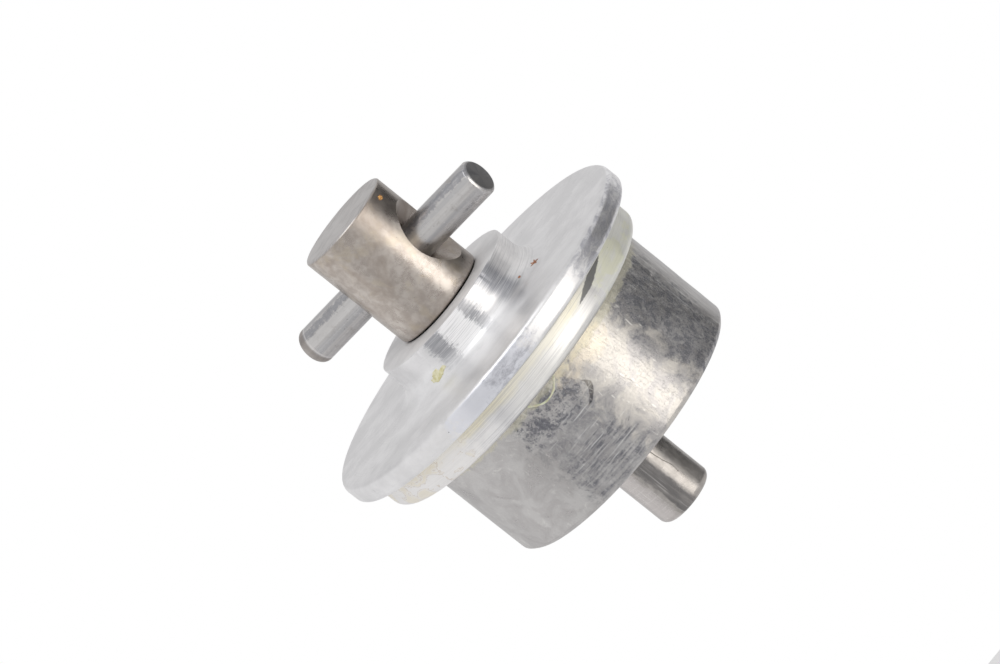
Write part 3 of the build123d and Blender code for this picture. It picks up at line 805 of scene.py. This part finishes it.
def dressed(r, angle, z):
    """A drum surface that is a little uneven, as an old machined part's is."""
    spot = Vector((cos(angle) * r, sin(angle) * r, z))
    low = noise.noise(spot * 0.12) * 0.05 + noise.noise(spot * 0.45) * 0.018
    return (r - abs(low) if r > DRUM_R - 1.5 else r), z


drum = to_object("case_drum_machined", lathe(divided(outline, 0.9), 320, DRUM_X, dressed), DRUM,
                 "case", ["case_drum"])
pocket = divided([(0, DRUM_BOTTOM + DRUM_SEAL_DEPTH), (SEAL_POCKET, DRUM_BOTTOM + DRUM_SEAL_DEPTH),
                  (SEAL_POCKET, DRUM_BOTTOM - 2), (0, DRUM_BOTTOM - 2)], 5)
cut(drum, to_object("drum_bore_tool", lathe(pocket, 128), DRUM, "case"))


# ---- sealant -------------------------------------------------------------------------------------
def bead(name, radius, z, centre_x, span, thick, seed=0.0, replaced=()):
    """A lumpy ribbon of sealant in a corner, over span degrees from the -Y side towards +X."""
    first, last = span
    closed = last - first >= 359.9
    count = max(24, int((last - first) * 1.2))
    bm = bmesh.new()
    rings = []
    for i in range(count if closed else count + 1):
        at = radians(first + (last - first) * i / count - 90)
        spot = Vector((cos(at) * 6, sin(at) * 6, seed))
        lump = 0.72 + 0.45 * noise.noise(spot) + 0.25 * noise.noise(spot * 3.1)
        if not closed:
            lump *= min(1.0, 0.15 + 5 * min(i, count - i) / count)
        size = max(0.16, lump) * thick
        ring = []
        for turn in turns(BEAD_SIDES):
            rr, zz = radius + size * cos(turn), z + size * 0.8 * sin(turn)
            ring.append(add_vert(bm, centre_x + rr * cos(at), rr * sin(at), zz))
        rings.append(ring)
    skin(bm, rings, closed)
    return to_object(name, bm, SEALANT, "case", replaced, crease=60)


bead("seam_sealant_bead", DRUM_R + 0.05, STEP_LOW - 0.02, DRUM_X, (0, 360), 0.42, replaced=["seam_sealant"])
bead("step_sealant_left", STEP_R - 0.02, -0.10, 0, (-86, -20), 0.30, seed=4.0)
bead("step_sealant_front", STEP_R - 0.06, -0.10, 0, (-16, 22), 0.22, seed=9.0)
bead("step_sealant_right", STEP_R - 0.02, -0.12, 0, (46, 92), 0.34, seed=14.0)


def smooth_path(points, steps=8):
    """A Catmull-Rom curve through the points."""
    points = [Vector(p) for p in points]
    out = []
    for i in range(len(points) - 1):
        p0, p1 = points[max(0, i - 1)], points[i]
        p2, p3 = points[i + 1], points[min(len(points) - 1, i + 2)]
        for k in range(steps):
            t = k / steps
            out.append(0.5 * ((2 * p1) + (p2 - p0) * t + (2 * p0 - 5 * p1 + 4 * p2 - p3) * t ** 2
                              + (3 * p1 - p0 - 3 * p2 + p3) * t ** 3))
    return out + [points[-1]]


def thread(name, radius, centre_x, path, thick):
    """A thread of dried sealant lying on a round surface: path is (degrees, z) points."""
    path = smooth_path(path)
    last = len(path) - 1
    bm = bmesh.new()
    rings = []
    for i, (angle, z) in enumerate(path):
        at = radians(angle - 90)
        step = path[min(i + 1, last)] - path[max(i - 1, 0)]
        along = Vector((radians(step.x) * radius, step.y)).normalized()
        side = Vector((-along.y, along.x))
        taper = min(1.0, 0.25 + 6 * min(i, last - i) / len(path))
        size = thick * taper * (0.85 + 0.5 * noise.noise(Vector((i * 0.35, z, angle * 0.1))))
        ring = []
        for turn in turns(THREAD_SIDES):
            move = side * size * cos(turn)
            rr = radius + size * 0.45 * sin(turn)
            spot = at + move.x / radius
            ring.append(add_vert(bm, centre_x + rr * cos(spot), rr * sin(spot), z + move.y))
        rings.append(ring)
    skin(bm, rings)
    return to_object(name, bm, SEALANT, "case", crease=60)


thread("sealant_thread", DRUM_R, DRUM_X,
       [(-16, -5.2), (-14.5, -6.2), (-10, -7.3), (-5, -7.1), (-1, -5.9), (0.5, -5.1)], 0.17)


# ---- flakes on the surfaces ----------------------------------------------------------------------
def patch(name, surface, size, material, body, seed, thick=0.12, lobes=5, stretch=1.6, spikes=0.0):
    """A thin irregular flake lying on a surface: surface(u, v) gives a point and the normal there."""
    bm = bmesh.new()
    rings = []
    for out, lift in ((1.0, -0.5), (1.0, 0.45), (0.82, 1.0), (0.6, 1.1), (0.3, 1.15)):
        ring = []
        for at in turns(FLAKE_SIDES):
            wave = 0.75 + 0.5 * noise.noise(Vector((cos(at) * lobes * 0.4, sin(at) * lobes * 0.4, seed)))
            wave += 0.25 * noise.noise(Vector((cos(at) * lobes, sin(at) * lobes, seed + 3)))
            reach = size * out * wave * (1 + spikes * cos(5 * at + seed))
            point, normal = surface(reach * stretch * cos(at), reach * sin(at))
            ring.append(bm.verts.new((point + normal * thick * lift) * MM))
        rings.append(ring)
    skin(bm, rings)
    return to_object(name, bm, material, body, crease=50)


def on_fillet(degrees_round, turn):
    """The hub's fillet near a point on it: turn is 0 at the hub's side and 90 at the rim's face."""
    def surface(u, v):
        lean = radians(180 + turn) - v / HUB_FILLET
        r = HUB_R + HUB_FILLET + HUB_FILLET * cos(lean)
        z = RIM_H + HUB_FILLET + HUB_FILLET * sin(lean)
        at = radians(degrees_round - 90) + u / r
        normal = Vector((-cos(lean) * cos(at), -cos(lean) * sin(at), -sin(lean)))
        return Vector((r * cos(at), r * sin(at), z)), normal
    return surface


def on_head(degrees_round, z):
    """The drive head's side near a point on it."""
    def surface(u, v):
        at = radians(degrees_round - 90) + u / HEAD_R
        normal = Vector((cos(at), sin(at), 0))
        return normal * HEAD_R + Vector((0, 0, z + v)), normal
    return surface


patch("paint_chip", on_fillet(-39, 36), 1.05, CHIP, "case", 2.0, lobes=3, stretch=2.0)
patch("rust_star", on_fillet(57, 72), 0.62, BROWN_RUST, "case", 5.0, thick=0.05, lobes=12, stretch=1.2,
      spikes=0.5)
patch("rust_fleck", on_fillet(44, 45), 0.22, BROWN_RUST, "case", 8.0, thick=0.05, lobes=8)
patch("head_rust", on_head(50, HEAD_TOP - 1.5), 0.46, RUST, "input", 11.0, thick=0.04, lobes=9, stretch=1.5)


# ---- shafts --------------------------------------------------------------------------------------
def lay_on_pin(bm):
    """Turns a solid made round the Z axis to lie round the cross pin's axis."""
    lay = Matrix.Rotation(PIN_ANGLE, 4, "Z") @ Matrix.Rotation(pi / 2, 4, "Y")
    bmesh.ops.transform(bm, matrix=Matrix.Translation((0, 0, PIN_Z * MM)) @ lay, verts=bm.verts)
    return bm


def sink_tool(name, side):
    """A cone for the countersink on one side of the head, with a short hole just wider than the pin."""
    low, hole = HEAD_R - (SINK_R - PIN_R), PIN_R + 0.03
    cone = [(0, side * (low - 0.3)), (hole, side * (low - 0.3)), (hole, side * low),
            (SINK_R + 2, side * (HEAD_R + 2)), (0, side * (HEAD_R + 2))]
    return to_object(name, lay_on_pin(lathe(cone, 128)), SHAFT, "input")


def domed_end(radius, end, dome):
    """Outline points of a shaft's lower end, from the axis out round its rounded edge."""
    return [(0, end)] + arc(radius - dome, end + dome, dome, 270, 360, 8)


outline = rounded([(0, HEAD_BOTTOM), (HEAD_R - 0.3, HEAD_BOTTOM), (HEAD_R, HEAD_BOTTOM + 0.3),
                   (HEAD_R, HEAD_TOP - 0.25), (HEAD_R - 0.25, HEAD_TOP), (0, HEAD_TOP)], 0.11)
head = to_object("drive_head", lathe(outline, 256), SHAFT, "input", ["input_shaft"])
cut(head, sink_tool("sink_tool_a", 1), sink_tool("sink_tool_b", -1))

outline = domed_end(PIN_R, -PIN_HALF, PIN_DOME)
outline += rounded([(PIN_R, 0), (PIN_R, PIN_HALF - PIN_CHAMFER), (PIN_R - PIN_CHAMFER, PIN_HALF),
                    (0, PIN_HALF)], 0.16)
to_object("cross_pin_ground", lay_on_pin(lathe(outline, 128)), PIN, "input", ["cross_pin"])

outline = domed_end(SHAFT_R, OUTPUT_END, SHAFT_ROUND) + [(SHAFT_R, DRUM_BOTTOM + 3), (0, DRUM_BOTTOM + 3)]
to_object("output_shaft_ground", lathe(outline, 128), SHAFT, "output", ["output_shaft"])


# ---- seals and inner nodes -----------------------------------------------------------------------
def lip_seal(name, node, face_up):
    """A rubber ring whose lip leans to the shaft, with a shallow groove in its face."""
    low, high = (corner[2] for corner in box_mm(node))
    back, face, step = (low, high, 1) if face_up else (high, low, -1)
    outline = [(7.58, back), (7.58, face - 0.12 * step), (7.45, face), (6.9, face), (6.7, face - 0.45 * step),
               (6.1, face - 0.55 * step), (5.5, face - 0.1 * step), (5.15, face - 0.15 * step),
               (5.05, face - 0.5 * step), (5.12, back)]
    return to_object(name, lathe(outline, 128), RUBBER, "case", [node], crease=40)


lip_seal("input_lip_seal", "input_seal", True)
lip_seal("output_lip_seal", "output_seal", False)

KEPT_NODES = {
    "case_o_ring": RUBBER, "input_bush": BRONZE, "output_bush": BRONZE, "input_thrust_washer": BRONZE,
    "output_thrust_washer": BRONZE, "pinion_washer_a": BRONZE, "pinion_washer_b": BRONZE,
    "pinion_cross_shaft": GEAR, "input_side_gear": GEAR, "output_side_gear": GEAR, "pinion_gear_a": GEAR,
    "pinion_gear_b": GEAR, "input_key": GEAR, "output_key": GEAR, "input_circlip": SPRING,
    "output_circlip": SPRING, "cross_shaft_keepers": DRUM,
}
for node, material in KEPT_NODES.items():
    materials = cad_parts[node].data.materials
    materials.clear()
    materials.append(material)


# ---- floor, light and camera, in metres ----------------------------------------------------------
def floor(radius=0.9, height=-0.40):
    bm = bmesh.new()
    bmesh.ops.create_circle(bm, cap_ends=True, segments=96, radius=radius)
    bmesh.ops.translate(bm, vec=(0, 0, height), verts=bm.verts)
    mesh = bpy.data.meshes.new("floor")
    bm.to_mesh(mesh)
    bm.free()
    mesh.materials.append(Material("pale_floor").finish((0.9, 0.9, 0.9), 0.9, metallic=0.0))
    disc = bpy.data.objects.new("floor", mesh)
    scene.collection.objects.link(disc)


def softbox(name, azimuth, elevation, width, height, radiance, tint=(1, 1, 1), distance=1.2):
    """A soft rectangular light aimed at the part; azimuth is from the -Y side towards +X."""
    data = bpy.data.lights.new(name, "AREA")
    data.shape, data.size, data.size_y, data.color = "RECTANGLE", width, height, tint
    data.energy = radiance * pi * width * height
    lamp = bpy.data.objects.new(name, data)
    az, el = radians(azimuth - 90), radians(elevation)
    away = Vector((cos(el) * cos(az), cos(el) * sin(az), sin(el)))
    lamp.location = away * distance
    lamp.rotation_euler = away.to_track_quat("Z", "Y").to_euler()
    scene.collection.objects.link(lamp)


def studio():
    """Pale walls with one tall dark screen on the right, white to the camera, and three soft lights."""
    world = bpy.data.worlds.new("studio")
    scene.world = world
    world.use_nodes = True
    n = Nodes(world.node_tree, "Generated")
    screen = n.times(n.band(n.around(), 75, 130, 14), n.band(n.z, -0.70, -0.02, 0.10))
    walls = n.tree.nodes["Background"]
    n.feed(walls.inputs["Color"], (1.0, 0.995, 1.0))
    n.feed(walls.inputs["Strength"], n.ramp(screen, 0.0, 1.0, 0.72, 0.12))
    white = n.new("ShaderNodeBackground")
    n.feed(white.inputs["Color"], (1, 1, 1))
    n.feed(white.inputs["Strength"], 1.0)
    mix = n.new("ShaderNodeMixShader")
    n.link(n.new("ShaderNodeLightPath").outputs["Is Camera Ray"], mix.inputs[0])
    n.link(walls.outputs[0], mix.inputs[1])
    n.link(white.outputs[0], mix.inputs[2])
    n.link(mix.outputs[0], n.tree.nodes["World Output"].inputs["Surface"])
    softbox("key", 38, -6, 0.62, 1.6, 1.9, (1.0, 0.96, 0.90))
    softbox("overhead", 0, 78, 0.7, 0.7, 1.5)
    softbox("left", -100, -4, 1.6, 1.4, 0.22)


def camera():
    """The photograph's view: from the -Y side, a little above, and rolled so that the axis slants."""
    data = bpy.data.cameras.new("camera")
    data.sensor_width, data.lens = 36, 162
    data.clip_start, data.clip_end = 0.01, 10
    view = bpy.data.objects.new("camera", data)
    elevation, roll, distance = radians(11.57), radians(51.3), 0.6515
    aim = Vector((1.8, -0.9, -0.3)) * MM
    back = Vector((0, -cos(elevation), sin(elevation)))
    view.rotation_mode = "QUATERNION"
    view.rotation_quaternion = back.to_track_quat("Z", "Y") @ Quaternion((0, 0, 1), -roll)
    view.location = aim + back * distance
    scene.collection.objects.link(view)
    scene.camera = view


floor()
studio()
camera()
scene.view_settings.view_transform = "Standard"
